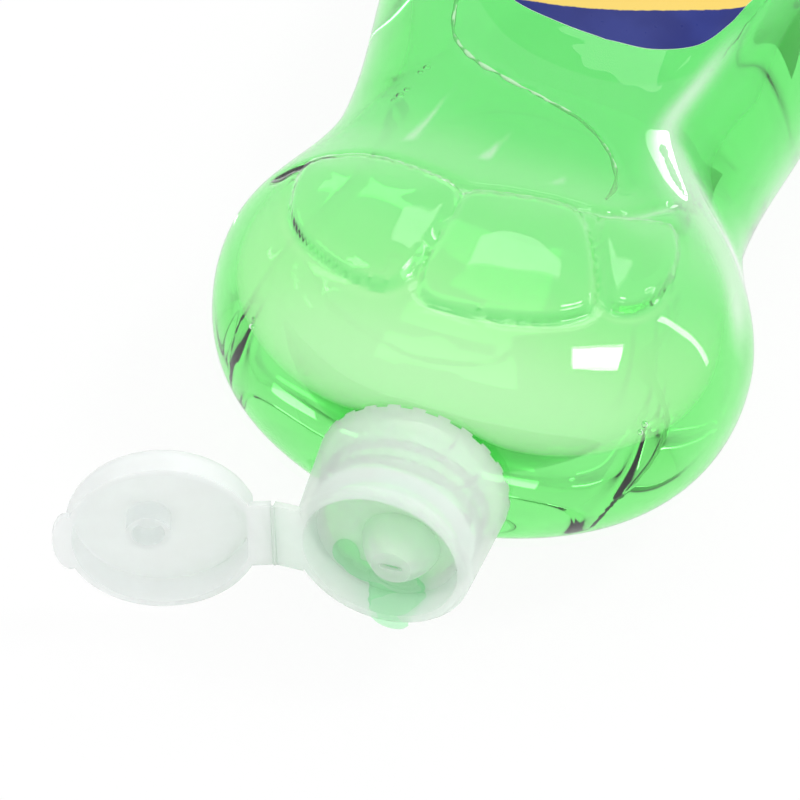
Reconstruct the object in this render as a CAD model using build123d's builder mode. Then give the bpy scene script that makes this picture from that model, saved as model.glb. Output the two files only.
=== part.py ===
"""Dish soap bottle lying on its back, with its flip-top screw cap open.

The bottle's long axis is the Y axis. The base's flat face is at y = 0 and the cap points to -Y.
The front of the bottle faces +Z. "Along" is a distance from the base towards the cap, so y = -along.
"""
import os
from math import cos, hypot, pi, radians, sin

from build123d import *

os.makedirs("parts", exist_ok=True)

# ---- bottle body (mm) ----
foot_half_width = 38.0      # flat foot of the base
foot_front = 21.0
foot_back = 20.0
foot_round = 11.0           # length of the rounding between the foot and the sides
body_half_width = 50.0      # widest part of the lower body
body_front = 31.5           # height of the front above the axis there
back_depth = 30.0           # depth of the back below the axis, at the body and at the shoulder
body_at = 60.0
waist_half_width = 43.3
waist_back = 27.0
waist_at = 125.0
ledge_front = 25.3          # lowest place of the front, under the shoulder's ledge
ledge_at = 139.0
shoulder_half_width = 52.7  # widest place of the bulb-shaped shoulder
shoulder_front = 28.5
shoulder_at = 165.0
shoulder_length = 43.5      # from the widest place to the root of the neck
squareness = 2.3            # exponent of the rounded-oval sections, 2 is a plain ellipse
wall = 0.8
shoulder_wall = 1.6         # under the neck, where the blown wall is thickest
base_wall = 1.6
outline_points = 16

# ---- neck and its thread ----
neck_root_radius = 14.5
neck_length = 13.9
neck_step = 0.6             # the shoulder ends this much wider than the neck
neck_wall = 1.9
thread_height = 1.0         # crest above the neck's root cylinder
thread_pitch = 4.2
thread_turns = 1.6
thread_root_width = 2.3
thread_crest_width = 1.1
thread_above_root = 4.6     # first turn's centre above the neck's root
thread_seat = 0.3           # depth of the ridge in the neck's wall

# ---- soap ----
soap_gap = 0.05             # between the soap and the wall
soap_level = 25.1           # the soap's surface above the axis, as the bottle lies
bubble_end = 141.0          # the air pocket ends under the ledge

# ---- front label ----
label_thickness = 0.25
label_gap = 0.04
label_half_width = 37.0
label_foot_at = 16.0
label_side_at = 62.0        # top of the straight sides
label_shoulder_at = 92.0    # the lobe's flanks
label_flank = 15.5          # half width of the lobe there
label_crown_at = 105.4
label_crown_x = 5.0
label_corner = 7.0

# ---- screw cap ----
thread_clearance = 0.1      # thread crest to the cap's bore, radial
cap_above_shoulder = 0.6    # skirt edge above the neck's root
skirt_radius = 18.0
rim_radius = 16.5
cap_height = 20.5
rim_round = 1.2
skirt_relief = 1.2          # the bore opens by this much at the skirt's edge
skirt_relief_height = 2.6
recess_radius = 14.2
recess_floor_radius = 13.2
deck_thickness = 1.3
seal_thickness = 1.0
seal_width = 2.6
seal_overhang = 0.7         # past the neck's root cylinder
seat_gap = 0.05
tooth_count = 24
tooth_depth = 0.6
cap_turn = 6.5              # degrees the hinge side is turned below the horizontal

# ---- dispensing nozzle ----
nozzle_offset = 2.5         # away from the hinge
nozzle_base_radius = 7.2
nozzle_top_radius = 3.6
nozzle_above_rim = 1.5
nozzle_wall = 1.2
slit_length = 4.2
slit_width = 1.1

# ---- hinge strap and flip lid ----
hinge_reach = 19.6          # cap axis to the hinge line
hinge_gap = 0.15            # each strap half ends this far from the hinge line
parting_gap = 0.1           # each rim lies this far from the parting plane
strap_width = 15.0
strap_thickness = 1.2
lid_open = 160.0            # degrees from closed
lid_radius = 17.2
lid_depth = 7.0
lid_wall = 1.3
lid_round = 3.2
lid_flat_at = 3.4           # straight side of the lid, from the hinge line
collar_radius = 4.0
collar_wall = 1.1
collar_clearance = 0.25
tab_width = 13.0
tab_reach = 2.2
tab_thickness = 1.3

# ---- worked-out places ----
neck_root_at = shoulder_at + shoulder_length
neck_top_at = neck_root_at + neck_length
cap_at = neck_root_at + cap_above_shoulder
shoulder_end_radius = neck_root_radius + neck_step
thread_radius = neck_root_radius + thread_height
bore_radius = thread_radius + thread_clearance
neck_bore = neck_root_radius - neck_wall
seal_at = neck_top_at - cap_at + seat_gap
seal_radius = neck_root_radius + seal_overhang
deck_bottom = seal_at + seal_thickness + seat_gap
deck_top = deck_bottom + deck_thickness
nozzle_top = cap_height + nozzle_above_rim
hinge_height = cap_height + parting_gap
lid_tilt = radians(180 - lid_open)
cap_axis = Axis((0, 0, 0), (0, -1, 0))
hinge_way = Vector(-cos(radians(cap_turn)), 0, -sin(radians(cap_turn)))
out_way = Vector(0, -1, 0)


def blend(start, end, share):
    """Smooth step from start to end, as share goes from 0 to 1."""
    share = min(max(share, 0.0), 1.0)
    return start + (end - start) * (1 - cos(pi * share)) / 2


def section_at(along):
    """Half width, front height, back depth and squareness of the bottle's outside."""
    if along >= shoulder_at:
        rise = min((along - shoulder_at) / shoulder_length, 1.0)
        share = (1 - rise**2) ** 0.5
        return (shoulder_end_radius + (shoulder_half_width - shoulder_end_radius) * share,
                shoulder_end_radius + (shoulder_front - shoulder_end_radius) * share,
                shoulder_end_radius + (back_depth - shoulder_end_radius) * share,
                2 + (squareness - 2) * share)
    towards_waist = (along - body_at) / (waist_at - body_at)
    towards_ledge = (along - body_at) / (ledge_at - body_at)
    past_waist = (along - waist_at) / (shoulder_at - waist_at)
    past_ledge = (along - ledge_at) / (shoulder_at - ledge_at)
    width = blend(body_half_width, waist_half_width, towards_waist)
    back = blend(back_depth, waist_back, towards_waist)
    front = blend(body_front, ledge_front, towards_ledge)
    if along > waist_at:
        width = blend(waist_half_width, shoulder_half_width, past_waist)
        back = blend(waist_back, back_depth, past_waist)
    if along > ledge_at:
        front = blend(ledge_front, shoulder_front, past_ledge)
    if along < foot_round:
        share = (1 - (1 - along / foot_round) ** 2) ** 0.5
        width = foot_half_width + (width - foot_half_width) * share
        front = foot_front + (front - foot_front) * share
        back = foot_back + (back - foot_back) * share
    return width, front, back, squareness


def station_places():
    """Places of the sections, from the base's flat to the root of the neck."""
    foot = [foot_round * (1 - cos(radians(a))) for a in (0, 22, 42, 60, 76)]
    foot_end = foot_round + 2
    sides_start = foot_round + 8
    sides = [sides_start + (waist_at - sides_start) * i / 6 for i in range(7)]
    ledge = [waist_at + (shoulder_at - waist_at) * i / 4 for i in range(1, 5)]
    dome = [shoulder_at + shoulder_length * sin(radians(a)) for a in (15, 30, 45, 58, 69, 80, 90)]
    return foot + [foot_end] + sides + ledge + dome


def across(along):
    """Plane across the bottle: x is +X, y is +Z, and its normal points to the cap."""
    return Plane(origin=(0, -along, 0), x_dir=(1, 0, 0), z_dir=(0, -1, 0))


def section_points(half_width, front, back, exponent):
    """Points round one rounded-oval section."""
    points = []
    for i in range(outline_points):
        angle = 2 * pi * i / outline_points
        x = abs(cos(angle)) ** (2 / exponent) * (1 if cos(angle) >= 0 else -1)
        y = abs(sin(angle)) ** (2 / exponent)
        height = front if sin(angle) >= 0 else -back
        points.append((half_width * x, height * y))
    return points


def body_solid(inset, start, end):
    """Lofted body whose sections lie inside the outside by inset, between start and end."""
    stretch = (end - start) / neck_root_at
    with BuildPart() as solid:
        for along in station_places():
            width, front, back, exponent = section_at(along)
            with BuildSketch(across(start + along * stretch)):
                with BuildLine():
                    Spline(*section_points(width - inset, front - inset, back - inset, exponent),
                           periodic=True)
                make_face()
        loft()
    return solid.part


bottle_outside = body_solid(0, 0, neck_root_at)
cavity_end = neck_root_at - shoulder_wall

# Neck thread: a trapezoid ridge wound round the neck, buried a little in its wall.
thread_start = neck_root_at + thread_above_root
with BuildPart() as neck_thread:
    with BuildLine():
        winding = Helix(thread_pitch, thread_pitch * thread_turns, neck_root_radius,
                        center=(0, -thread_start, 0), direction=(0, -1, 0))
    with BuildSketch(Plane(origin=winding @ 0, x_dir=((winding @ 0).X, 0, (winding @ 0).Z),
                           z_dir=winding % 0)):
        with BuildLine():
            Polyline((-thread_seat, -thread_root_width / 2), (thread_height, -thread_crest_width / 2),
                     (thread_height, thread_crest_width / 2), (-thread_seat, thread_root_width / 2),
                     close=True)
        make_face()
    sweep(path=winding, is_frenet=True)

# Bottle: one blown shell with an open neck and its helical thread.
with BuildPart() as bottle:
    add(bottle_outside)
    add(body_solid(wall, base_wall, cavity_end), mode=Mode.SUBTRACT)
    with BuildSketch(across(neck_root_at)):
        Circle(neck_root_radius)
    extrude(amount=neck_length)
    with BuildSketch(across(cavity_end - shoulder_wall)):
        Circle(neck_bore)
    extrude(amount=neck_length + 3 * shoulder_wall, mode=Mode.SUBTRACT)
    add(neck_thread.part)
bottle.part.label = "bottle"
export_step(bottle.part, "parts/bottle.step")

# Soap: one body of liquid that fills the bottle and its neck, with an air pocket above it.
soap_inset = wall + soap_gap
with BuildPart() as dish_soap:
    add(body_solid(soap_inset, base_wall + soap_gap, cavity_end - soap_gap))
    with BuildSketch(across(cavity_end - shoulder_wall)):
        Circle(neck_bore - soap_gap)
    extrude(amount=neck_length + 2 * shoulder_wall - soap_gap)
    with BuildSketch(Plane.XY.offset(soap_level)):
        with Locations((0, -bubble_end / 2)):
            Rectangle(4 * body_half_width, bubble_end)
    extrude(amount=2 * body_front, mode=Mode.SUBTRACT)
dish_soap.part.label = "dish_soap"
export_step(dish_soap.part, "parts/dish_soap.step")

# Front label: a thin printed film on the lower body, with a lobe towards the waist.
with BuildPart() as front_label:
    with BuildSketch(Plane.XY.offset(label_thickness)):
        with BuildLine():
            Polyline((-label_half_width, -label_side_at), (-label_half_width, -label_foot_at),
                     (label_half_width, -label_foot_at), (label_half_width, -label_side_at))
            Spline((label_half_width, -label_side_at),
                   (label_crown_x + label_flank, -label_shoulder_at),
                   (label_crown_x, -label_crown_at),
                   (label_crown_x - label_flank, -label_shoulder_at),
                   (-label_half_width, -label_side_at))
        make_face()
    extrude(amount=2 * body_front)
    add(body_solid(-label_gap - label_thickness, 0, neck_root_at), mode=Mode.INTERSECT)
    add(body_solid(-label_gap, 0, neck_root_at), mode=Mode.SUBTRACT)
front_label.part.label = "front_label"
export_step(front_label.part, "parts/front_label.step")


def cap_across(height):
    """Plane across the cap: x points to the hinge, and its normal points out of the bottle."""
    return Plane(origin=(0, -cap_at - height, 0), x_dir=hinge_way, z_dir=out_way)


def cap_section(offset=0):
    """Plane along the cap's axis, moved away from the hinge: x is a radius and y is a height."""
    return Plane(origin=Vector(0, -cap_at, 0) - hinge_way * offset, x_dir=hinge_way,
                 z_dir=hinge_way.cross(out_way))


# Cap base: skirt, deck in a deep recess, hollow nozzle with a slit, and half of the hinge strap.
nozzle_axis = Axis(Vector(0, -cap_at, 0) - hinge_way * nozzle_offset, out_way)
nozzle_ceiling = nozzle_top - nozzle_wall
nozzle_middle = (deck_top + nozzle_top) / 2
with BuildPart() as cap_base:
    with BuildSketch(cap_section()):
        with BuildLine():
            Polyline((0, deck_bottom), (bore_radius, deck_bottom),
                     (bore_radius, skirt_relief_height + skirt_relief),
                     (bore_radius + skirt_relief, skirt_relief_height),
                     (bore_radius + skirt_relief, 0), (skirt_radius, 0),
                     (rim_radius, cap_height - rim_round))
            RadiusArc((rim_radius, cap_height - rim_round), (rim_radius - rim_round, cap_height),
                      -rim_round)
            Polyline((rim_radius - rim_round, cap_height), (recess_radius, cap_height),
                     (recess_floor_radius, deck_top), (0, deck_top), (0, deck_bottom))
        make_face()
    revolve(axis=cap_axis)
    with BuildSketch(cap_section(nozzle_offset)):
        with BuildLine():
            ThreePointArc((nozzle_base_radius, deck_top),
                          (nozzle_base_radius - nozzle_wall, nozzle_middle),
                          (nozzle_top_radius, nozzle_top))
            Polyline((nozzle_top_radius, nozzle_top), (0, nozzle_top), (0, deck_top - deck_thickness / 2),
                     (nozzle_base_radius, deck_top - deck_thickness / 2), (nozzle_base_radius, deck_top))
        make_face()
    revolve(axis=nozzle_axis)
    with BuildSketch(cap_section(nozzle_offset)):
        with BuildLine():
            Polyline((0, deck_bottom - 1), (nozzle_base_radius - nozzle_wall, deck_bottom - 1),
                     (nozzle_base_radius - nozzle_wall, deck_top))
            ThreePointArc((nozzle_base_radius - nozzle_wall, deck_top),
                          (nozzle_base_radius - 2 * nozzle_wall, nozzle_middle),
                          (nozzle_top_radius - nozzle_wall / 2, nozzle_ceiling))
            Polyline((nozzle_top_radius - nozzle_wall / 2, nozzle_ceiling), (0, nozzle_ceiling),
                     (0, deck_bottom - 1))
        make_face()
    revolve(axis=nozzle_axis, mode=Mode.SUBTRACT)
    with BuildSketch(cap_across(nozzle_ceiling - nozzle_wall)):
        with Locations((-nozzle_offset, 0)):
            SlotOverall(slit_length, slit_width)
    extrude(amount=3 * nozzle_wall, mode=Mode.SUBTRACT)
    with BuildSketch(cap_across(0)):
        with PolarLocations(skirt_radius, tooth_count, start_angle=90 / tooth_count):
            Rectangle(3 * skirt_relief, pi * skirt_radius / tooth_count)
    extrude(amount=tooth_depth, mode=Mode.SUBTRACT)
    with BuildSketch(cap_across(cap_height - strap_thickness)):
        strap_inner = recess_radius + hinge_gap
        with Locations(((strap_inner + hinge_reach - hinge_gap) / 2, 0)):
            Rectangle(hinge_reach - hinge_gap - strap_inner, strap_width)
    extrude(amount=strap_thickness)
cap_base.part.label = "cap_base"
export_step(cap_base.part, "parts/cap_base.step")

# Seal ring: the flat ring that the deck presses on the neck's top.
with BuildPart() as seal_ring:
    with BuildSketch(cap_across(seal_at)):
        Circle(seal_radius)
        Circle(seal_radius - seal_width, mode=Mode.SUBTRACT)
    extrude(amount=seal_thickness)
seal_ring.part.label = "seal_ring"
export_step(seal_ring.part, "parts/seal_ring.step")

# Flip lid: a shallow dish with a sealing collar, a thumb tab and the strap's other half.
hinge_point = Vector(0, -cap_at - hinge_height, 0) + hinge_way * hinge_reach
lid_way = hinge_way * cos(lid_tilt) + out_way * sin(lid_tilt)
lid_inside = out_way * cos(lid_tilt) - hinge_way * sin(lid_tilt)
lid_plane = Plane(origin=hinge_point, x_dir=lid_way, z_dir=lid_inside)
lid_back = lid_plane.offset(-parting_gap - lid_depth)
lid_ceiling = lid_depth - lid_wall
collar_length = lid_ceiling - nozzle_above_rim + 2 * parting_gap - collar_clearance
with BuildPart() as flip_lid:
    with BuildSketch(lid_back):
        with Locations((hinge_reach, 0)):
            Circle(lid_radius)
        with Locations((lid_flat_at - lid_radius, 0)):
            Rectangle(2 * lid_radius, 2 * lid_radius, mode=Mode.SUBTRACT)
    extrude(amount=lid_depth)
    fillet(flip_lid.faces().sort_by(Axis(hinge_point, lid_inside))[0].edges(), lid_round)
    with BuildSketch(lid_back.offset(lid_wall)):
        with Locations((hinge_reach, 0)):
            Circle(lid_radius - lid_wall)
        with Locations((lid_flat_at + lid_wall - lid_radius, 0)):
            Rectangle(2 * lid_radius, 2 * lid_radius, mode=Mode.SUBTRACT)
    extrude(amount=lid_depth, mode=Mode.SUBTRACT)
    with BuildSketch(lid_back.offset(lid_wall)):
        with Locations((hinge_reach + nozzle_offset, 0)):
            Circle(collar_radius)
            Circle(collar_radius - collar_wall, mode=Mode.SUBTRACT)
    extrude(amount=collar_length)
    with BuildSketch(lid_plane.offset(-parting_gap - tab_thickness)):
        with Locations((hinge_reach + lid_radius - lid_wall / 2, 0)):
            Ellipse(tab_reach + lid_wall / 2, tab_width / 2)
        with Locations((hinge_reach, 0)):
            Circle(lid_radius - lid_wall / 2, mode=Mode.SUBTRACT)
    extrude(amount=tab_thickness)
    with BuildSketch(lid_plane.offset(-parting_gap - strap_thickness)):
        strap_outer = lid_flat_at + lid_wall / 2
        with Locations(((hinge_gap + strap_outer) / 2, 0)):
            Rectangle(strap_outer - hinge_gap, strap_width)
    extrude(amount=strap_thickness)
flip_lid.part.label = "flip_lid"
export_step(flip_lid.part, "parts/flip_lid.step")
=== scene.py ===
from math import cos, pi, radians, sin

import bpy
import numpy as np
from mathutils import Matrix, Vector


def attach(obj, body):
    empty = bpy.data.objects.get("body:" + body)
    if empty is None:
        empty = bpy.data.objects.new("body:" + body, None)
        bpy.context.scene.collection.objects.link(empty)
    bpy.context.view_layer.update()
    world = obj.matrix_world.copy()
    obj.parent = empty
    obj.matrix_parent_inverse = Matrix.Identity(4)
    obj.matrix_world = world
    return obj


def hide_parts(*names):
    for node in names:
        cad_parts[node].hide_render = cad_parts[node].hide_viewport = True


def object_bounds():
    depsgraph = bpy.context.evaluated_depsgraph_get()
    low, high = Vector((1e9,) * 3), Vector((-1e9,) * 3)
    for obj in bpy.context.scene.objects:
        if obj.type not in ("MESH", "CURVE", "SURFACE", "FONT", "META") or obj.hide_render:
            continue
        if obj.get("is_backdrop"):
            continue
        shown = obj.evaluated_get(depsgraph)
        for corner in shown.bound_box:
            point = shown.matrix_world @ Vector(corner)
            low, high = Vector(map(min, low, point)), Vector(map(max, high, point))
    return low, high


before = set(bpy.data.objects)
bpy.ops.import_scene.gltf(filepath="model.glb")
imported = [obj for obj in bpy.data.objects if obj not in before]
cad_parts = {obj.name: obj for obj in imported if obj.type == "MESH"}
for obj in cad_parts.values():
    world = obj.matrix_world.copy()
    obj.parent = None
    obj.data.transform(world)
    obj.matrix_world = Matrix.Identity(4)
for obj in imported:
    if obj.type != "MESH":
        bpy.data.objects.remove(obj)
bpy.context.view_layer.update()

# A clear bottle of green dish soap lies on its back, with its milky flip cap open.
# Sizes are in millimetres, as the maker's drawing gives them; MM turns them into metres.
# "Along" is the height above the bottle's base, so a point's y is minus its place along.
MM = 0.001

# The blown bottle's outside.
foot_half_width, foot_front, foot_back, foot_round = 38, 21, 20, 11
body_half_width, body_front, back_depth, body_at = 50, 31.5, 30, 60
waist_half_width, waist_back, waist_at = 43.3, 27, 125
ledge_front, ledge_at = 25.3, 139
shoulder_half_width, shoulder_front = 52.7, 28.5
shoulder_at, shoulder_length, shoulder_end = 165, 43.5, 15.1
squareness = 2.3
push_up = 2.0

# Its walls, neck and thread.
wall, base_wall, shoulder_wall = 0.8, 1.6, 1.6
neck_root, neck_length, neck_radius, neck_bore = 208.5, 13.9, 14.5, 12.6
thread_at, thread_pitch, thread_turns, thread_height = 4.6, 4.2, 1.6, 1.0
cavity_end = neck_root - shoulder_wall
neck_top = neck_root + neck_length

# The soap reaches almost to the wall.
soap_gap = 0.05
soap_top = neck_top - 0.1
soap_surface = 22.4

# Mesh steps round the bottle, closer together at the front than at the back, and the
# distance between rows where the relief is, on the outer wall, the inner wall and the soap.
steps_round = 240
crowding = 0.35
outer_row_step, inner_row_step, soap_row_step = 0.8, 1.2, 1.0

# Relief on the bottle's front, and the air pocket's outline, each as (across, along).
petals = {
    "left": [(-39, 158), (-38.5, 169), (-35, 177), (-29, 183), (-21, 187.5), (-14, 188.5),
             (-11, 184), (-9, 172), (-9.5, 161.5), (-20, 157.5), (-30, 155.5)],
    "middle": [(-7, 162), (-8.5, 172), (-9, 182), (-6.5, 189.5), (6, 189), (16, 185.5),
               (21.5, 180), (20, 172), (14.5, 160), (10, 157.5), (0, 159.5)],
    "right": [(17.5, 158), (20.5, 168), (24, 177), (28, 176.5), (31.5, 171), (33, 160),
              (30, 150), (23, 153.5)],
}
crease = [(-44, 160), (-39, 156.5), (-30, 154.5), (-20, 156.5), (-8, 160.5), (0, 158.5), (10, 156.5),
          (16, 155.5), (22, 152), (28, 143)]
side_ridge = [(33, 70), (29.5, 90), (25.6, 109), (23, 123), (25.5, 130), (31, 137), (39, 145),
              (45, 155), (48.5, 168)]
pocket = [(-30, 40), (-28, 92), (-26, 108), (-21, 116), (-12, 122), (-2, 126), (6, 128), (12, 133),
          (16, 139), (18.5, 146), (22, 141), (21, 128), (23, 112), (29, 92), (31, 40)]

# The cap's frame: where the hinge points, and where the neck's mouth points.
cap_turn = radians(6.5)
hinge_way = Vector((-cos(cap_turn), 0, -sin(cap_turn)))
out_way = Vector((0, -1, 0))
cap_at = 209.1
hinge_reach, hinge_height = 19.6, 20.6


# ---------------------------------------------------------------- shapes

def blend(start, end, share):
    """Even change from start to end, level at both ends."""
    share = min(max(share, 0), 1)
    return start + (end - start) * (1 - cos(pi * share)) / 2


def smooth(value):
    """The same soft step from 0 to 1 on an array."""
    value = np.clip(value, 0, 1)
    return value * value * (3 - 2 * value)


def section_at(along):
    """Half width, front, back and exponent of the bottle's rounded-oval section."""
    if along >= shoulder_at:
        rise = min((along - shoulder_at) / shoulder_length, 1)
        share = (1 - rise ** 2) ** 0.5
        width, front, back = [shoulder_end + (size - shoulder_end) * fall for size, fall in (
            (shoulder_half_width, share), (shoulder_front, share), (back_depth, share ** 1.7))]
        return width, front, back, 2 + (squareness - 2) * share
    width = blend(body_half_width, waist_half_width, (along - body_at) / (waist_at - body_at))
    back = blend(back_depth, waist_back, (along - body_at) / (waist_at - body_at))
    front = blend(body_front, ledge_front, (along - body_at) / (ledge_at - body_at))
    if along > waist_at:
        past_waist = (along - waist_at) / (shoulder_at - waist_at)
        width = blend(waist_half_width, shoulder_half_width, past_waist)
        back = blend(waist_back, back_depth, past_waist)
    if along > ledge_at:
        front = blend(ledge_front, shoulder_front, (along - ledge_at) / (shoulder_at - ledge_at))
    if along < foot_round:
        share = (1 - (1 - along / foot_round) ** 2) ** 0.5
        width = foot_half_width + (width - foot_half_width) * share
        front = foot_front + (front - foot_front) * share
        back = foot_back + (back - foot_back) * share
    return width, front, back, squareness


def body_rows(inset, start, end, relief_step):
    """Rows of the body from its base to its shoulder's end, inside the outside by inset."""
    stretch = (end - start) / neck_root
    foot = [foot_round * (1 - cos(radians(angle))) for angle in range(0, 85, 9)]
    sides = list(np.arange(foot_round, waist_at, 3))
    relief = list(np.arange(waist_at, 193, relief_step))
    dome = [shoulder_at + shoulder_length * sin(radians(angle)) for angle in np.arange(40.5, 90.1, 2.75)]
    rows = []
    for share in (0.25, 0.5, 0.72, 0.88, 0.96):
        width, front, back, exponent = section_at(0)
        lift = push_up * (1 - share ** 2) ** 2
        rows.append((start + lift, (width - inset) * share, (front - inset) * share,
                     (back - inset) * share, exponent))
    for station in foot + sides + relief + dome:
        width, front, back, exponent = section_at(min(station, neck_root))
        rows.append((start + station * stretch, width - inset, front - inset, back - inset, exponent))
    return rows


def round_row(place, radius):
    """A round row of the neck."""
    return place, radius, radius, radius, 2


def drawn_out(rows):
    """Points of every row, in millimetres: [row, step, xyz]."""
    even = np.arange(steps_round) / steps_round * 2 * pi
    angle = even + crowding * np.cos(even)
    points = np.empty((len(rows), steps_round, 3))
    for i, (place, width, front, back, exponent) in enumerate(rows):
        across, up = np.cos(angle), np.sin(angle)
        points[i, :, 0] = width * np.sign(across) * np.abs(across) ** (2 / exponent)
        points[i, :, 1] = -place
        points[i, :, 2] = np.where(up >= 0, front, -back) * np.abs(up) ** (2 / exponent)
    return points


def smooth_line(knots, closed):
    """A curve through the knots, six short runs to each span."""
    knots = np.array(knots, dtype=float)
    if closed:
        before, after = np.roll(knots, 1, 0), np.roll(knots, -1, 0)
        beyond = np.roll(knots, -2, 0)
    else:
        padded = np.vstack([2 * knots[0] - knots[1], knots, 2 * knots[-1] - knots[-2]])
        before, knots, after, beyond = padded[:-3], padded[1:-2], padded[2:-1], padded[3:]
    line = []
    for step in range(6):
        t = step / 6
        line.append(0.5 * (2 * knots + (after - before) * t
                           + (2 * before - 5 * knots + 4 * after - beyond) * t ** 2
                           + (3 * knots - before - 3 * after + beyond) * t ** 3))
    line = np.stack(line, 1).reshape(-1, 2)
    return np.vstack([line, line[:1] if closed else after[-1:]])


def distance_to(across, along, line):
    """Distance of each point from a line of short runs."""
    nearest = np.full(across.shape, 1e9)
    for start, end in zip(line[:-1], line[1:]):
        run = end - start
        share = ((across - start[0]) * run[0] + (along - start[1]) * run[1]) / max(run @ run, 1e-9)
        share = np.clip(share, 0, 1)
        away = np.hypot(across - start[0] - share * run[0], along - start[1] - share * run[1])
        nearest = np.minimum(nearest, away)
    return nearest


def depth_inside(across, along, knots):
    """Distance from a closed outline, above zero inside it and below zero outside."""
    line = smooth_line(knots, True)
    inside = np.zeros(across.shape, dtype=bool)
    for start, end in zip(line[:-1], line[1:]):
        spans = (start[1] > along) != (end[1] > along)
        rise = end[1] - start[1] if end[1] != start[1] else 1e-9
        inside ^= spans & (across < start[0] + (along - start[1]) / rise * (end[0] - start[0]))
    return np.where(inside, 1, -1) * distance_to(across, along, line)


def relief_height(points):
    """How far the moulded petals, creases and side ridges stand out of the bottle."""
    across, along = points[..., 0], -points[..., 1]
    height = np.zeros(across.shape)
    for knots in petals.values():
        depth = depth_inside(across, along, knots)
        height += 1.05 * smooth((depth + 0.4) / 1.3) + 0.7 * smooth(depth / 10)
        height -= 0.45 * np.exp(-((depth + 0.9) / 0.7) ** 2)
    height -= 0.8 * np.exp(-(distance_to(across, along, smooth_line(crease, False)) / 1.0) ** 2)
    fade = smooth((along - 66) / 22) * smooth((160 - along) / 18)
    away = distance_to(across, along, smooth_line(side_ridge, False))
    height += fade * 1.5 * np.exp(-(away / 3.0) ** 2)
    faces_up = smooth((points[..., 2] - 3) / 7)
    in_body = smooth((along - 60) / 10) * smooth((200 - along) / 8)
    return height * faces_up * in_body


def pushed_out(points, height):
    """Points moved along their surface's normal."""
    round_way = np.roll(points, -1, 1) - np.roll(points, 1, 1)
    long_way = np.gradient(points, axis=0)
    normal = np.cross(long_way, round_way)
    normal /= np.maximum(np.linalg.norm(normal, axis=2, keepdims=True), 1e-9)
    outward = np.sign(normal[..., 0] * points[..., 0] + normal[..., 2] * points[..., 2])
    return points + normal * (outward * height)[..., None]


def painted_glint_share(places):
    """Painted highlight: how much extra white mirror gloss is painted on the front, over the moulded side
    ridge, the grip's fins and a broken line along the crease.
    """
    across, along = places[:, 0] / MM, -places[:, 1] / MM
    away = distance_to(across, along, smooth_line([(x - 0.5, y) for x, y in side_ridge], False))
    fade = smooth((along - 84) / 30) * smooth((172 - along) / 14)
    width = 1.6 + 3.2 * np.exp(-((along - 142) / 14) ** 2)
    share = 0.5 * fade * np.exp(-(away / width) ** 2)
    # Painted highlight in fin-shaped wedges on the grip.
    for x, low, high, strength in ((-21.5, 124, 149, 0.30), (-6.4, 136, 151, 0.34), (8, 145, 153, 0.2)):
        rise = np.clip((along - low) / (high - low), 0, 1)
        edge = across - x + 0.12 * (along - high)
        wedge = smooth((edge + 3.4 * rise) / 1.5) * smooth(-edge / 0.8)
        share += strength * wedge * smooth((along - low) / 5) * smooth((high - along) / 3)
    # Painted highlight: a broken white line along the crease, a little towards the shoulder.
    away = distance_to(across, along, smooth_line([(x, y + 0.9) for x, y in crease], False))
    broken = 0.6 + 0.4 * np.sin(across * 0.55) * np.sin(across * 0.21 + 1)
    share += 0.38 * broken * np.exp(-(away / 0.8) ** 2) * smooth((38 - np.abs(across)) / 8)
    return share * (places[:, 2] > 0)


def blown_form(name, first_pole, points, last_pole):
    """One closed skin: a ball whose rings are drawn out to the rows of points."""
    rows = len(points)
    bpy.ops.object.select_all(action="DESELECT")
    bpy.ops.mesh.primitive_uv_sphere_add(segments=steps_round, ring_count=rows + 1, radius=1)
    piece = bpy.context.object
    piece.name = name
    ball = np.empty(len(piece.data.vertices) * 3)
    piece.data.vertices.foreach_get("co", ball)
    ball = ball.reshape(-1, 3)
    row = np.rint(np.arccos(np.clip(ball[:, 2], -1, 1)) / pi * (rows + 1)).astype(int)
    step = np.rint(np.arctan2(ball[:, 1], ball[:, 0]) / (2 * pi) * steps_round).astype(int) % steps_round
    poles = [np.broadcast_to(np.array(pole, dtype=float), (1, steps_round, 3))
             for pole in (first_pole, last_pole)]
    places = np.concatenate([poles[0], points, poles[1]])[row, step] * MM
    piece.data.vertices.foreach_set("co", places.ravel())
    piece.data.update()
    finish_mesh(piece, 40)
    return piece


def finish_mesh(piece, sharp_above):
    """Faces turned outwards and shaded smooth, apart from edges sharper than an angle."""
    bpy.ops.object.select_all(action="DESELECT")
    piece.select_set(True)
    bpy.context.view_layer.objects.active = piece
    bpy.ops.object.mode_set(mode="EDIT")
    bpy.ops.mesh.select_all(action="SELECT")
    bpy.ops.mesh.normals_make_consistent(inside=False)
    bpy.ops.object.mode_set(mode="OBJECT")
    bpy.ops.object.shade_smooth_by_angle(angle=radians(sharp_above))


def threaded_neck():
    """The neck's outside with its thread, whose ridge rises and runs out softly."""
    row_step, run_out, ridge_half_width, flank = 0.42, 0.25, 1.15, 0.6
    places = np.arange(0.0, neck_length - 0.5, row_step)
    points = drawn_out([round_row(neck_root + place, neck_radius) for place in places])
    angle = np.arctan2(points[..., 2], points[..., 0])
    turned = (-points[..., 1] - neck_root - thread_at) / thread_pitch - angle / (2 * pi)
    off_centre = turned - np.rint(turned)
    wound = turned - off_centre + angle / (2 * pi)
    on_thread = smooth((wound + 0.1) / run_out) * smooth((thread_turns + 0.1 - wound) / run_out)
    ridge = smooth((ridge_half_width - np.abs(off_centre) * thread_pitch) / flank) * on_thread
    radius = np.hypot(points[..., 0], points[..., 2])
    points[..., ::2] *= ((radius + ridge * thread_height) / radius)[..., None]
    return points


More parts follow.
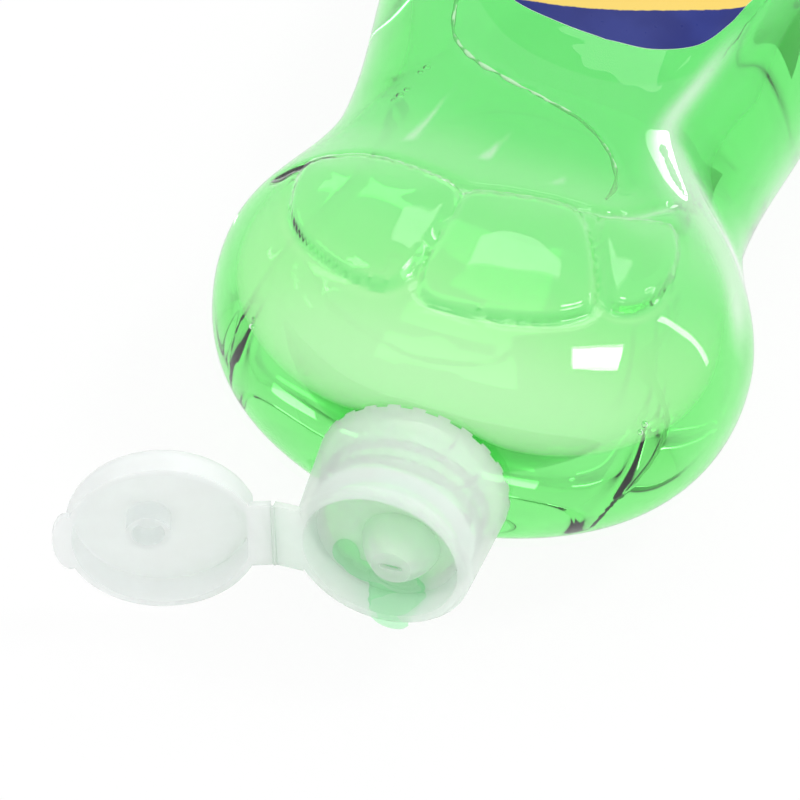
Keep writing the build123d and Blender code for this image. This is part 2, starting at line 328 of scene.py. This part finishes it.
def make_bottle():
    """The shell in one skin: up the outside, over the neck's lip and down the inside."""
    outside = drawn_out(body_rows(0, 0, neck_root, outer_row_step))
    inside = drawn_out(body_rows(wall, base_wall, cavity_end, inner_row_step))
    lip = [round_row(neck_top - 0.35, neck_radius), round_row(neck_top - 0.1, neck_radius - 0.12),
           round_row(neck_top, neck_radius - 0.4), round_row(neck_top, neck_bore + 0.3),
           round_row(neck_top - 0.3, neck_bore)]
    bore = [round_row(place, neck_bore) for place in (neck_top - 4, neck_top - 9, cavity_end)]
    points = np.concatenate([
        pushed_out(outside, relief_height(outside)), threaded_neck(), drawn_out(lip + bore),
        pushed_out(inside, relief_height(inside))[::-1]])
    piece = blown_form("bottle_shell", (0, -push_up, 0), points, (0, -base_wall - push_up, 0))
    places = np.empty(len(piece.data.vertices) * 3)
    piece.data.vertices.foreach_get("co", places)
    # Painted highlight: each point's share of extra white mirror gloss, kept as an attribute of the shell.
    glint = piece.data.attributes.new("glint", "FLOAT", "POINT")
    glint.data.foreach_set("value", painted_glint_share(places.reshape(-1, 3)))
    return piece


def make_pocket_edge_glint():
    """A thin bead along the edge of the air pocket, under the wall, whose pale colour paints the bright
    line seen there.
    """
    line = smooth_line([(-29, 84), (-28, 94), (-26.5, 104), (-24, 112), (-18, 118.5), (-10, 122.5),
                        (-2, 125.5), (6, 128.5), (12, 133), (15.5, 138), (17, 144), (16.5, 149)], False)
    curve = bpy.data.curves.new("pocket_edge_glint", "CURVE")
    curve.dimensions = "3D"
    run = curve.splines.new("POLY")
    run.points.add(len(line) - 1)
    for point, (across, along) in zip(run.points, line):
        width, front, back, exponent = section_at(along)
        up = front * (1 - abs(across / width) ** exponent) ** (1 / exponent) - wall - 0.75
        point.co = (across * MM, -along * MM, up * MM, 1)
        point.radius = 0.75 + 0.35 * sin(along * 0.9) * sin(across * 0.7)
    curve.bevel_depth = 0.55 * MM
    curve.bevel_resolution = 3
    curve.use_fill_caps = True
    piece = bpy.data.objects.new("pocket_edge_glint", curve)
    bpy.context.collection.objects.link(piece)
    bpy.ops.object.select_all(action="DESELECT")
    piece.select_set(True)
    bpy.context.view_layer.objects.active = piece
    bpy.ops.object.convert(target="MESH")
    finish_mesh(piece, 60)
    return piece


def make_soap():
    """The liquid: the bottle's form inside its wall, flat on top where the air pocket is."""
    inset, pocket_edge = wall + soap_gap, 1.3
    start, end = base_wall + soap_gap, cavity_end - soap_gap
    points = drawn_out(body_rows(inset, start, end, soap_row_step))
    points = pushed_out(points, relief_height(points))
    across, along, up = points[..., 0], -points[..., 1], points[..., 2]
    open_share = smooth(depth_inside(across, along, pocket) / pocket_edge) * (up > 0)
    points[..., 2] = up + (np.minimum(up, soap_surface) - up) * open_share
    bore = neck_bore - soap_gap
    neck = drawn_out([round_row(place, bore) for place in (end + 0.2, neck_top - 8, neck_top - 3)]
                     + [round_row(soap_top - 0.3, bore), round_row(soap_top, bore - 0.4),
                        round_row(soap_top, bore * 0.66), round_row(soap_top, bore * 0.33)])
    return blown_form("soap_fill", (0, -start - push_up, 0), np.concatenate([points, neck]),
                      (0, -soap_top, 0))


def make_label():
    """The printed film: strips from its left edge to its right edge, laid on the bottle's front."""
    left = smooth_line([(5, 106.6), (-4, 105.6), (-14, 102.5), (-22, 96), (-27.5, 87), (-31, 76), (-35, 65),
                        (-37, 54), (-37, 35), (-37, 16)], False)
    right = smooth_line([(5, 106.6), (14, 105), (22, 99), (26.5, 90), (29, 81), (33, 70), (36, 60),
                         (37, 52), (37, 35), (37, 16)], False)
    strips, steps = 160, 60
    bpy.ops.object.select_all(action="DESELECT")
    bpy.ops.mesh.primitive_grid_add(x_subdivisions=steps, y_subdivisions=strips, size=2)
    piece = bpy.context.object
    piece.name = "label_film"
    flat = np.empty(len(piece.data.vertices) * 3)
    piece.data.vertices.foreach_get("co", flat)
    flat = flat.reshape(-1, 3)
    share, down = (flat[:, 0] + 1) / 2, (1 - flat[:, 1]) / 2
    ends = np.linspace(0, 1, len(left))
    edges = [[np.interp(down, ends, edge[:, i]) for i in (0, 1)] for edge in (left, right)]
    across = edges[0][0] * (1 - share) + edges[1][0] * share
    along = edges[0][1] * (1 - share) + edges[1][1] * share
    sizes = np.array([section_at(place) for place in along])
    up = sizes[:, 1] * (1 - np.abs(across / sizes[:, 0]) ** squareness) ** (1 / squareness)
    points = np.stack([across, -along, up], 1)
    points[:, 2] += relief_height(points) + 0.08
    piece.data.vertices.foreach_set("co", (points * MM).ravel())
    film = piece.modifiers.new("film", "SOLIDIFY")
    film.thickness = 0.15 * MM
    film.offset = 1
    bpy.ops.object.modifier_apply(modifier="film")
    finish_mesh(piece, 40)
    return piece


def make_cap_thread():
    """The ridge wound inside the skirt, half a pitch from the neck's."""
    bpy.ops.object.select_all(action="DESELECT")
    bpy.ops.mesh.primitive_plane_add(size=2, location=(0, 0, 0))
    piece = bpy.context.object
    piece.name = "cap_thread"
    start = neck_root + thread_at + 0.5 * thread_pitch
    crest, root, turns = 14.8, 15.65, 1.4
    profile = {(-1, -1): (crest, -0.45), (1, -1): (root, -1.0), (-1, 1): (crest, 0.45), (1, 1): (root, 1.0)}
    for vertex in piece.data.vertices:
        radius, height = profile[round(vertex.co.x), round(vertex.co.y)]
        vertex.co = (radius * MM, 0, (start + height) * MM)
    winding = piece.modifiers.new("winding", "SCREW")
    winding.axis = "Z"
    winding.angle = 2 * pi * turns
    winding.screw_offset = thread_pitch * turns * MM
    winding.steps = winding.render_steps = 110
    bpy.ops.object.modifier_apply(modifier="winding")
    bpy.ops.object.mode_set(mode="EDIT")
    bpy.ops.mesh.select_all(action="SELECT")
    bpy.ops.mesh.remove_doubles(threshold=0.00001)
    bpy.ops.mesh.fill_holes(sides=4)
    bpy.ops.object.mode_set(mode="OBJECT")
    piece.rotation_euler = (pi / 2, 0, 0)
    bpy.ops.object.transform_apply(rotation=True)
    finish_mesh(piece, 35)
    return piece


def make_hinge_bead():
    """The thin film along the hinge line, drawn as a round bead on the hinge's axis."""
    axis_at = in_cap(hinge_reach, hinge_height, 0)
    side = out_way.cross(hinge_way)
    bpy.ops.object.select_all(action="DESELECT")
    bpy.ops.mesh.primitive_cylinder_add(vertices=20, radius=0.42 * MM, depth=14.6 * MM)
    piece = bpy.context.object
    piece.name = "hinge_bead"
    rounding = piece.modifiers.new("rounding", "BEVEL")
    rounding.width = 0.15 * MM
    rounding.segments = 2
    bpy.ops.object.modifier_apply(modifier="rounding")
    piece.matrix_world = Matrix.Translation(axis_at) @ side.to_track_quat("Z", "Y").to_matrix().to_4x4()
    bpy.ops.object.transform_apply(location=True, rotation=True)
    finish_mesh(piece, 40)
    return piece


def ellipsoids(name, balls, voxel, smoothing):
    """Rounded drops: balls at (place, radii), melted into one skin."""
    parts = []
    for place, radii in balls:
        bpy.ops.object.select_all(action="DESELECT")
        bpy.ops.mesh.primitive_uv_sphere_add(segments=32, ring_count=20, radius=MM, location=place,
                                             scale=radii)
        parts.append(bpy.context.object)
    for part in parts:
        part.select_set(True)
    bpy.context.view_layer.objects.active = parts[0]
    bpy.ops.object.join()
    piece = bpy.context.object
    piece.name = name
    bpy.ops.object.transform_apply(location=True, rotation=True, scale=True)
    melt = piece.modifiers.new("melt", "REMESH")
    melt.mode = "VOXEL"
    melt.voxel_size = voxel * MM
    bpy.ops.object.modifier_apply(modifier="melt")
    settle = piece.modifiers.new("settle", "SMOOTH")
    settle.factor = 0.5
    settle.iterations = smoothing
    bpy.ops.object.modifier_apply(modifier="settle")
    finish_mesh(piece, 60)
    return piece


def make_bubbles():
    """Small air bubbles that cling under the front of the bulb and the grip."""
    parts = []
    for x, y, z, radius in ((-36.8, -194.4, 11.1, 0.6), (-36.9, -193.2, 12.0, 0.4),
                            (36.7, -192.2, 13.0, 0.7), (36.4, -193.7, 12.3, 0.6),
                            (-26.7, -120.9, 19.9, 0.8), (-27.6, -122.4, 19.6, 0.6),
                            (-29.4, -129.5, 18.4, 0.9), (-28.6, -127.6, 18.7, 0.7),
                            (-30.3, -131.0, 18.1, 0.5)):
        bpy.ops.object.select_all(action="DESELECT")
        bpy.ops.mesh.primitive_uv_sphere_add(segments=20, ring_count=12, radius=radius * MM,
                                             location=(x * MM, y * MM, z * MM), scale=(1, 1, 0.86))
        parts.append(bpy.context.object)
    for part in parts:
        part.select_set(True)
    bpy.context.view_layer.objects.active = parts[0]
    bpy.ops.object.join()
    piece = bpy.context.object
    piece.name = "soap_bubbles"
    bpy.ops.object.transform_apply(location=True, rotation=True, scale=True)
    finish_mesh(piece, 60)
    return piece


def in_cap(across, height, outward):
    """A place in the cap: towards the hinge, up from the skirt's edge, and down to the rim's low side."""
    side = out_way.cross(hinge_way)
    return (Vector((0, -cap_at, 0)) + out_way * height + hinge_way * across + side * outward) * MM


# ---------------------------------------------------------------- finishes

class Value:
    """A socket's value that varies over a surface. Arithmetic on it adds Math nodes."""

    def __init__(self, finish, socket):
        self.finish = finish
        self.socket = socket

    def _math(self, operation, first, second=0.0, third=0.0):
        return self.finish.node("ShaderNodeMath", {"operation": operation}, [first, second, third])

    def __add__(self, other):
        return self._math("ADD", self, other)

    def __sub__(self, other):
        return self._math("SUBTRACT", self, other)

    def __mul__(self, other):
        return self._math("MULTIPLY", self, other)

    def __rsub__(self, other):
        return self._math("SUBTRACT", other, self)

    __radd__ = __add__
    __rmul__ = __mul__

    def power(self, exponent):
        return self._math("POWER", self, exponent)

    def step(self, start, end):
        """Soft step from 0 at start to 1 at end."""
        return self.finish.node("ShaderNodeMapRange", {"interpolation_type": "SMOOTHSTEP"},
                                {"Value": self, "From Min": start, "From Max": end})


class Finish:
    """A node tree under construction."""

    def __init__(self, tree):
        self.tree = tree
        tree.nodes.clear()

    def node(self, kind, settings=None, sockets=None, output=0):
        """Adds a node: its settings first, then its sockets' values or links."""
        made = self.tree.nodes.new(kind)
        for name, setting in (settings or {}).items():
            if name == "stops":
                ramp = made.color_ramp
                while len(ramp.elements) < len(setting):
                    ramp.elements.new(1)
                for element, (place, colour) in zip(ramp.elements, setting):
                    element.position = place
                    element.color = (*colour, 1)
            else:
                setattr(made, name, setting)
        pairs = sockets.items() if isinstance(sockets, dict) else enumerate(sockets or [])
        for name, value in pairs:
            if isinstance(value, Value):
                self.tree.links.new(value.socket, made.inputs[name])
            else:
                made.inputs[name].default_value = value
        return Value(self, made.outputs[output]) if made.outputs else None

    def mix(self, share, first, second):
        """Colour mixed from first to second."""
        first, second = [(*c, 1) if isinstance(c, tuple) and len(c) == 3 else c for c in (first, second)]
        return self.node("ShaderNodeMix", {"data_type": "RGBA"}, {0: share, 6: first, 7: second}, 2)

    def place(self):
        return self.node("ShaderNodeTexCoord", output="Object")

    def noise(self, scale, detail=2.0, rough=0.5, where=None):
        return self.node("ShaderNodeTexNoise", {}, {"Vector": where or self.place(), "Scale": scale,
                                                   "Detail": detail, "Roughness": rough})

    def bump(self, height, strength, depth):
        return self.node("ShaderNodeBump", {}, {"Height": height, "Strength": strength,
                                               "Distance": depth})


def new_finish(name):
    """A new material and its empty tree."""
    material = bpy.data.materials.new(name)
    material.use_nodes = True
    return material, Finish(material.node_tree)


def clear_plastic():
    """Thin blown plastic: clear, faintly wavy, with fine handling marks, and a painted highlight where the
    shell's attribute asks for one.
    """
    material, finish = new_finish("clear_blown_plastic")
    waves = finish.noise(55, 2.0)
    marks = finish.noise(900, 4.0, 0.6)
    normal = finish.bump(waves, 0.12, 0.0015)
    gloss = finish.node("ShaderNodeBsdfPrincipled", {}, {
        "Base Color": finish.mix(waves.step(0.3, 0.7), (0.985, 1.0, 0.985), (1.0, 1.0, 1.0)),
        "Roughness": 0.012 + marks.step(0.62, 0.8) * 0.05,
        "Metallic": 1.0,
        "Normal": normal,
    })
    clear = finish.node("ShaderNodeBsdfTransparent", {}, {"Color": (0.99, 1.0, 0.99, 1)})
    slant = finish.node("ShaderNodeLayerWeight", {}, {"Blend": 0.5, "Normal": normal}, "Facing")
    front = 1 - finish.node("ShaderNodeNewGeometry", output="Backfacing")
    glint = finish.node("ShaderNodeAttribute", {"attribute_name": "glint"}, output="Fac")
    # Share of mirror gloss: a Fresnel-like rise towards grazing angles plus the painted highlight, on front
    # faces only.
    fresnel_and_painted_glint = (0.035 + slant.power(5) * 0.9 + glint) * front
    shader = finish.node("ShaderNodeMixShader", {}, [fresnel_and_painted_glint, clear, gloss])
    finish.node("ShaderNodeOutputMaterial", {}, {"Surface": shader})
    return material


def green_soap():
    """Green liquid whose tint paints light and shade: lighter in the bulb, near white towards the neck,
    deeper behind the grip; its absorption makes it deeper still with its thickness.
    """
    material, finish = new_finish("green_soap")
    drift = finish.noise(30, 2.0)
    along = finish.node("ShaderNodeSeparateXYZ", {}, {0: finish.place()}, 1) * (-1 / MM)
    # Painted light and shade: a lighter, then near-white green for the bulb and neck, and a deeper green
    # for the body behind the grip.
    light = finish.mix(drift, (0.46, 0.955, 0.42), (0.54, 0.97, 0.49))
    light = finish.mix(along.step(182, 206), light, (0.86, 0.995, 0.83))
    painted_deep_green = finish.mix(drift, (0.16, 0.85, 0.21), (0.23, 0.89, 0.28))
    shader = finish.node("ShaderNodeBsdfPrincipled", {}, {
        "Base Color": finish.mix((along + drift * 12 - 6).step(132, 156), painted_deep_green, light),
        "Roughness": drift * 0.01,
        "IOR": 1.33,
        "Transmission Weight": 1.0,
    })
    depth = finish.node("ShaderNodeVolumeAbsorption", {}, {"Color": (0.22, 0.967, 0.153, 1),
                                                          "Density": 3.5})
    finish.node("ShaderNodeOutputMaterial", {}, {"Surface": shader, "Volume": depth})
    return material


def painted_edge_glint():
    """Pale and half see-through, with fine cells: painted light for the bright line along the air pocket's
    edge.
    """
    material, finish = new_finish("painted_edge_glint")
    cells = finish.noise(900, 3.0)
    body = finish.node("ShaderNodeBsdfPrincipled", {}, {
        "Base Color": finish.mix(cells, (0.62, 0.97, 0.60), (0.90, 1.0, 0.88)),
        "Roughness": 0.3 + cells * 0.2,
    })
    clear = finish.node("ShaderNodeBsdfTransparent", {}, {"Color": (0.95, 1.0, 0.95, 1)})
    shader = finish.node("ShaderNodeMixShader", {}, [0.25 + cells * 0.3, body, clear])
    finish.node("ShaderNodeOutputMaterial", {}, {"Surface": shader})
    return material


def wet_film():
    """A thin layer of soap left on the cap: green, glossy and clear."""
    material, finish = new_finish("wet_soap_film")
    drift = finish.noise(260, 2.0)
    normal = finish.bump(drift, 0.2, 0.0008)
    gloss = finish.node("ShaderNodeBsdfPrincipled", {}, {
        "Base Color": finish.mix(drift, (0.90, 1.0, 0.92), (1.0, 1.0, 1.0)),
        "Metallic": 1.0, "Roughness": 0.02 + drift * 0.03, "Normal": normal})
    clear = finish.node("ShaderNodeBsdfTransparent", {}, {"Color": (0.78, 0.995, 0.82, 1)})
    slant = finish.node("ShaderNodeLayerWeight", {}, {"Blend": 0.5, "Normal": normal}, "Facing")
    shader = finish.node("ShaderNodeMixShader", {}, [0.05 + slant.power(4) * 0.7, clear, gloss])
    finish.node("ShaderNodeOutputMaterial", {}, {"Surface": shader})
    return material


def trapped_air():
    """Air inside the soap, so its index is air's over the soap's."""
    material, finish = new_finish("trapped_air")
    shader = finish.node("ShaderNodeBsdfGlass", {}, {"Roughness": finish.noise(400) * 0.02, "IOR": 0.75})
    finish.node("ShaderNodeOutputMaterial", {}, {"Surface": shader})
    return material


def milky_plastic(name, tint, see_through, clearness):
    """Milky moulded plastic that light goes through, with a fine satin grain."""
    material, finish = new_finish(name)
    cloud = finish.noise(120, 3.0)
    grain = finish.noise(2600, 2.0)
    colour = finish.mix(cloud.step(0.3, 0.7), tint, tuple(0.5 + 0.5 * c for c in tint))
    body = finish.node("ShaderNodeBsdfPrincipled", {}, {
        "Base Color": colour,
        "Roughness": 0.26 + cloud * 0.12,
        "IOR": 1.4,
        "Subsurface Weight": 1.0,
        "Subsurface Radius": (1.0, 1.0, 1.0),
        "Subsurface Scale": 0.004,
        "Normal": finish.bump(grain + cloud * 0.5, 0.1, 0.0002),
    })
    clear = finish.node("ShaderNodeBsdfTransparent", {}, {"Color": (*see_through, 1)})
    shader = finish.node("ShaderNodeMixShader", {}, [clearness - 0.06 + cloud * 0.12, body, clear])
    finish.node("ShaderNodeOutputMaterial", {}, {"Surface": shader})
    return material


def label_print():
    """Glossy printed film: a navy crown, a yellow-orange band under it, and a pale field below."""
    material, finish = new_finish("printed_label")
    where = finish.node("ShaderNodeSeparateXYZ", {}, {0: finish.place()})
    across = where * (1 / MM)
    along = Value(finish, where.socket.node.outputs[1]) * (-1 / MM)
    ink = finish.noise(700, 3.0)
    fleck = ink * 0.5 - 0.25
    bend = (across + 13) * (across + 13) * 0.0105
    height = along + bend + fleck
    navy = finish.mix(finish.noise(90).step(0.3, 0.7), (0.010, 0.018, 0.16), (0.016, 0.028, 0.20))
    yellow = finish.mix(height.step(86, 100), (0.93, 0.36, 0.03), (0.80, 0.58, 0.13))
    pale = finish.mix(along.step(14, 80), (0.18, 0.55, 0.25), (0.80, 0.93, 0.55))
    cloud = finish.noise(45, 3.0)
    pale = finish.mix(cloud.step(0.45, 0.75) * 0.5, pale, (0.93, 0.98, 0.85))
    colour = finish.mix(height.step(84.6, 85.0), pale, (0.95, 0.95, 0.9))
    colour = finish.mix(height.step(85.6, 86.0), colour, yellow)
    colour = finish.mix(height.step(101.1, 101.5), colour, navy)
    facing = finish.node("ShaderNodeNewGeometry", output="Normal")
    printed = finish.node("ShaderNodeSeparateXYZ", {}, {0: facing}, 2).step(-0.1, 0.1)
    shader = finish.node("ShaderNodeBsdfPrincipled", {}, {
        "Base Color": finish.mix(printed, (0.92, 0.96, 0.93), colour),
        "Roughness": 0.24 + ink * 0.12,
        "Specular IOR Level": 0.2,
        "Normal": finish.bump(ink, 0.08, 0.0001),
    })
    finish.node("ShaderNodeOutputMaterial", {}, {"Surface": shader})
    return material


def seal_foam():
    """Pale closed-cell foam."""
    material, finish = new_finish("seal_foam")
    cells = finish.noise(1800, 3.0, 0.6)
    shader = finish.node("ShaderNodeBsdfPrincipled", {}, {
        "Base Color": finish.mix(cells.step(0.35, 0.65), (0.80, 0.86, 0.82), (0.90, 0.94, 0.91)),
        "Roughness": 0.5 + cells * 0.3,
        "Normal": finish.bump(cells, 0.3, 0.0002),
    })
    finish.node("ShaderNodeOutputMaterial", {}, {"Surface": shader})
    return material


def white_seen(finish):
    """1 for rays that look at a surface, directly or through gloss and glass."""
    rays = finish.node("ShaderNodeLightPath", output="Is Camera Ray")
    outputs = rays.socket.node.outputs
    seen = rays + Value(finish, outputs["Is Glossy Ray"]) + Value(finish, outputs["Is Transmission Ray"])
    return finish.node("ShaderNodeMath", {"operation": "MINIMUM"}, [seen, 1.0])


def white_floor():
    """Matt white paper, plain white where it is looked at, with a faint shadow left in it."""
    material, finish = new_finish("studio_floor")
    paper = finish.noise(8, 2.0)
    lit = finish.node("ShaderNodeBsdfDiffuse", {}, {
        "Color": finish.mix(paper, (0.93, 0.93, 0.93), (0.96, 0.96, 0.96))})
    plain = finish.node("ShaderNodeEmission", {}, {"Color": (1, 1, 1, 1), "Strength": 1.0})
    shader = finish.node("ShaderNodeMixShader", {}, [white_seen(finish) * 0.92, lit, plain])
    finish.node("ShaderNodeOutputMaterial", {}, {"Surface": shader})
    return material


def wear(piece, material):
    """Gives a piece its one finish."""
    piece.data.materials.clear()
    piece.data.materials.append(material)


# ---------------------------------------------------------------- the object

shell = make_bottle()
wear(shell, clear_plastic())
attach(shell, "bottle")
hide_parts("bottle")

soap_finish = green_soap()
fill = make_soap()
wear(fill, soap_finish)
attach(fill, "bottle")
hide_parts("dish_soap")

drip = ellipsoids("soap_drip", [
    (in_cap(-2.5, 21.6, 0), (1.6, 0.3, 0.5)),
    (in_cap(-2.3, 17.9, 6.6), (4.6, 1.6, 2.0)),
    (in_cap(-2.1, 17.0, 8.6), (5.4, 1.7, 2.4)),
    (in_cap(-2.0, 16.9, 10.6), (5.6, 1.9, 2.2)),
    (in_cap(-1.8, 17.5, 12.2), (5.2, 2.2, 1.7)),
    (in_cap(-1.5, 18.8, 13.3), (4.6, 1.8, 1.5)),
    (in_cap(-1.4, 19.9, 14.6), (4.2, 0.75, 1.7)),
    (in_cap(-1.3, 19.9, 16.0), (3.9, 0.7, 1.5)),
    (in_cap(-1.3, 19.3, 17.0), (3.4, 1.2, 1.4)),
    (in_cap(4.0, 15.8, 9.2), (4.8, 0.6, 2.8)),
    (in_cap(7.8, 15.8, 5.6), (2.8, 0.6, 3.8)),
], 0.25, 24)
wear(drip, wet_film())
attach(drip, "cap")

# Painted highlight: a pale bead along the air pocket's edge.
edge_glint_bead = make_pocket_edge_glint()
wear(edge_glint_bead, painted_edge_glint())
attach(edge_glint_bead, "bottle")

bubbles = make_bubbles()
wear(bubbles, trapped_air())
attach(bubbles, "bottle")

label = make_label()
wear(label, label_print())
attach(label, "bottle")
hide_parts("front_label")

cap_plastic = milky_plastic("milky_cap_plastic", (0.85, 0.985, 0.89), (0.95, 1.0, 0.96), 0.5)
lid_plastic = milky_plastic("milky_lid_plastic", (0.93, 0.98, 0.975), (0.975, 0.995, 0.99), 0.4)
for node, material in (("cap_base", cap_plastic), ("flip_lid", lid_plastic),
                       ("seal_ring", seal_foam())):
    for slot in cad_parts[node].material_slots:
        slot.material = material

for piece in (make_cap_thread(), make_hinge_bead()):
    wear(piece, cap_plastic)
    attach(piece, "cap")

# ---------------------------------------------------------------- the studio

floor_level = min(piece.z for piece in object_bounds()) - 0.00005
bpy.ops.object.select_all(action="DESELECT")
bpy.ops.mesh.primitive_plane_add(size=8, location=(0, 0, floor_level))
floor = bpy.context.object
floor.name = "studio_floor"
wear(floor, white_floor())
floor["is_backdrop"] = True

world = bpy.data.worlds.new("studio")
bpy.context.scene.world = world
world.use_nodes = True
sky = Finish(world.node_tree)
backdrop = sky.node("ShaderNodeBackground", {}, {
    "Color": (1, 1, 1, 1), "Strength": 0.95 + white_seen(sky) * 0.05})
sky.node("ShaderNodeOutputWorld", {}, {"Surface": backdrop})


def aimed(place, at, up=(0, 0, 1)):
    """Where a lamp or camera stands when it looks from one point at another."""
    back = (Vector(place) - Vector(at)).normalized()
    right = Vector(up).cross(back).normalized()
    turned = Matrix((right, back.cross(right), back)).transposed().to_4x4()
    return Matrix.Translation(place) @ turned


def softbox(name, place, at, width, height, glow, up=(0, 0, 1)):
    """A soft area lamp with an even glow."""
    bpy.ops.object.light_add(type="AREA")
    lamp = bpy.context.object
    lamp.name = name
    lamp.data.shape = "RECTANGLE"
    lamp.data.size = width
    lamp.data.size_y = height
    lamp.data.energy = glow * width * height * pi
    lamp.matrix_world = aimed(place, at, up)


softbox("key_softbox", (0.49, 0.07, 0.98), (0.02, -0.18, 0), 0.20, 0.27, 15)
softbox("side_strip", (0.64, 0.32, 0.47), (0.04, -0.17, 0.02), 0.035, 0.50, 8, (0.637, -0.148, -0.757))
softbox("front_panel", (-0.03, 0.40, 0.80), (0, -0.17, 0), 0.42, 0.20, 1.9)

bpy.ops.object.camera_add()
camera = bpy.context.object
camera.data.sensor_width = 36
camera.data.lens = 135
camera.data.clip_start = 0.01
camera_place, camera_aim, camera_up = ((0.0712, -0.5736, 0.3918), (-0.0109, -0.1788, -0.0124),
                                       (-0.2757, 0.6403, 0.7175))
camera.matrix_world = aimed(camera_place, camera_aim, camera_up)
bpy.context.scene.camera = camera
bpy.context.scene.view_settings.view_transform = "Standard"
